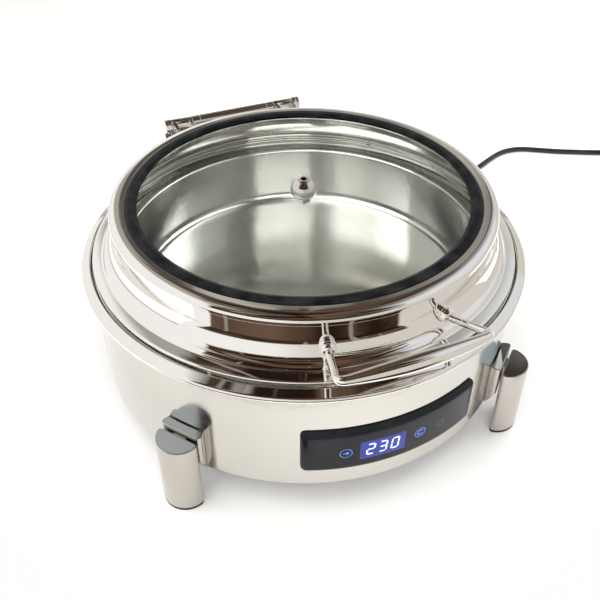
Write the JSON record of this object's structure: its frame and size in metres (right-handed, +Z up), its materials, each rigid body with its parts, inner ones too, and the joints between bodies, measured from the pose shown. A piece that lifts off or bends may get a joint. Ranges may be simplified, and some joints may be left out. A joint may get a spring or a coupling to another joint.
{
  "type": "electric chafing dish",
  "caption": "Round electric chafer: satin drum on split legs, polished hinged lid with a glass window, steam vent, bow handle, touch panel, food pan in a water pan, mains cord.",
  "frame": {"origin": "centre of the drum's axis on the table, under the feet", "axes": "+Z up; -Y is the front, where the handle and the control panel are; +Y is the rear, where the hinge is"},
  "size_m": [0.9217, 0.5522, 0.2331],
  "materials": {
    "satin_steel": "satin polished, warm grey, faintly wavy",
    "mirror_steel": "mirror polished stainless steel",
    "leg_steel": "vertical satin brushing with a mirror polished top",
    "pan_steel": "satin, turned sheen on the floor",
    "plain_steel": "mill finish sheet",
    "bolt_steel": "bright zinc",
    "hinge_chrome": "polished",
    "damper_plastic": "moulded",
    "cast_aluminium": "as cast, faced on top",
    "element_sheath": "oxidised dark sheath",
    "white_ceramic": "glazed ceramic look",
    "brass": "turned",
    "panel_gloss": "piano black, bevelled edge",
    "panel_plastic": "moulded",
    "display_lit": "dark window with lit digits",
    "circuit_board": "solder mask with parts",
    "lead_sleeve": "silicone sleeved wire",
    "gasket_rubber": "semi-matte moulded rubber",
    "foot_rubber": "matte",
    "silicone": "translucent silicone",
    "clear_glass": "clear tempered glass, slightly green",
    "cord_rubber": "smooth black sheath",
    "plug_plastic": "moulded",
    "pin_nickel": "nickel plated"
  },
  "bodies": {
    "base": {"drum_shell": "satin_steel", "drum_rim": "mirror_steel", "water_pan": "pan_steel", "bottom_cover": "plain_steel", "cover_screws": "bolt_steel", "heating_plate": "cast_aluminium", "heating_element": "element_sheath", "thermostat": "white_ceramic", "thermal_cutout": "white_ceramic", "heat_shield": "plain_steel", "shield_studs": "brass", "panel_lens": "panel_gloss", "panel_frame": "panel_plastic", "display_module": "display_lit", "control_board": "circuit_board", "board_posts": "brass", "power_board": "circuit_board", "terminal_block": "white_ceramic", "heater_leads": "lead_sleeve", "leg_tube_1": "leg_steel", "leg_tube_2": "leg_steel", "leg_tube_3": "leg_steel", "leg_tube_4": "leg_steel", "leg_backing_1": "satin_steel", "leg_backing_2": "satin_steel", "leg_backing_3": "satin_steel", "leg_backing_4": "satin_steel", "leg_foot_1": "foot_rubber", "leg_foot_2": "foot_rubber", "leg_foot_3": "foot_rubber", "leg_foot_4": "foot_rubber", "leg_screws": "bolt_steel", "cord_gland": "plug_plastic", "cord_relief": "cord_rubber", "cord": "cord_rubber", "cord_coil": "cord_rubber", "cord_tail": "cord_rubber", "plug_body": "plug_plastic", "plug_pins": "pin_nickel", "hinge_bracket": "hinge_chrome", "hinge_barrel": "hinge_chrome", "hinge_dampers": "damper_plastic", "hinge_pin": "bolt_steel", "hinge_caps": "hinge_chrome", "hinge_screws": "bolt_steel"},
    "lid": {"lid_neck": "mirror_steel", "lid_ring": "mirror_steel", "gasket": "gasket_rubber", "glass": "clear_glass", "vent_knob": "mirror_steel", "knob_seal": "silicone", "knob_nut": "bolt_steel", "handle_bosses": "mirror_steel", "handle_bar": "mirror_steel", "handle_screws": "bolt_steel", "lid_arm_left": "mirror_steel", "lid_arm_right": "mirror_steel", "lid_pads": "silicone"},
    "food_pan": {"food_pan": "pan_steel"}
  },
  "joints": [
    {"name": "lid_hinge", "type": "hinge", "parent": "base", "child": "lid", "pos_m": [0, 0.217, 0.2015], "axis": [-1, 0, 0], "range_deg": [0, 90]},
    {"name": "pan_lift", "type": "slide", "parent": "base", "child": "food_pan", "axis": [0, 0, 1], "range_m": [0, 0.015]}
  ]
}
